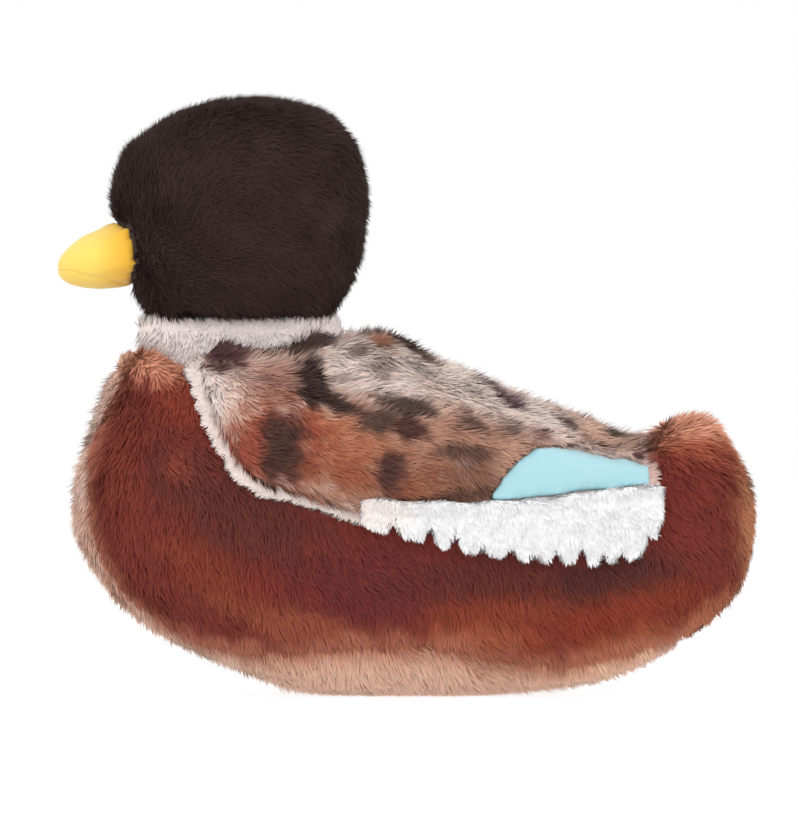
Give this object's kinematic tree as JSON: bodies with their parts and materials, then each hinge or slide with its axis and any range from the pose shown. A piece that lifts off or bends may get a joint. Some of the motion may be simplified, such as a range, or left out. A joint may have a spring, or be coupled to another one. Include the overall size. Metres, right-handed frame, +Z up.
{
  "type": "duck dog toy",
  "caption": "Stuffed plush mallard toy for dogs with a soft nodding head, hinged padded wing flaps and a squeaker inside the body.",
  "frame": {"origin": "centre of the toy's footprint box, on the surface it rests on", "axes": "+Z up, -X towards the beak, -Y to the duck's left side"},
  "size_m": [0.2803, 0.1268, 0.242],
  "materials": {
    "chestnut_plush": "short plush pile",
    "tan_plush": "short plush pile",
    "spotted_plush": "short plush pile, mottled",
    "white_plush": "short plush pile",
    "white_long_pile": "long clumped pile",
    "dark_plush": "short plush pile",
    "yellow_fabric": "smooth brushed fabric",
    "blue_satin": "satin",
    "polyester_fibre": "loose fibre",
    "squeaker_plastic": "blown plastic"
  },
  "bodies": {
    "body": {"body_side_left": "chestnut_plush", "body_side_right": "chestnut_plush", "belly_gusset": "tan_plush", "back_panel": "spotted_plush", "body_stuffing": "polyester_fibre", "squeaker_bulb": "squeaker_plastic", "squeaker_reed_holder": "squeaker_plastic", "squeaker_reed": "squeaker_plastic"},
    "neck": {"neck_band": "white_plush", "neck_stuffing": "polyester_fibre"},
    "head": {"head_side_left": "dark_plush", "head_side_right": "dark_plush", "head_stuffing": "polyester_fibre", "beak_upper": "yellow_fabric", "beak_lower": "yellow_fabric", "beak_stuffing": "polyester_fibre"},
    "wing_left": {"wing_left_cover": "spotted_plush", "wing_left_speculum": "blue_satin", "wing_left_trim": "white_long_pile", "wing_left_lining": "white_plush"},
    "wing_right": {"wing_right_cover": "spotted_plush", "wing_right_speculum": "blue_satin", "wing_right_trim": "white_long_pile", "wing_right_lining": "white_plush"}
  },
  "joints": [
    {"name": "head_nod", "type": "hinge", "parent": "body", "child": "neck", "pos_m": [-0.066, 0, 0.118], "axis": [0, -1, 0], "range_deg": [-6, 15], "stiffness_Nm_per_rad": 0.6},
    {"name": "head_turn", "type": "hinge", "parent": "neck", "child": "head", "pos_m": [-0.066, 0, 0.153], "axis": [0, 0, 1], "range_deg": [-25, 25], "stiffness_Nm_per_rad": 0.4},
    {"name": "wing_left_flap", "type": "hinge", "parent": "body", "child": "wing_left", "pos_m": [-0.0844, -0.031, 0.1412], "axis": [-0.9721, -0.0794, 0.2208], "range_deg": [0, 70]},
    {"name": "wing_right_flap", "type": "hinge", "parent": "body", "child": "wing_right", "pos_m": [-0.0844, 0.031, 0.1412], "axis": [0.9721, -0.0794, -0.2208], "range_deg": [0, 70]}
  ]
}
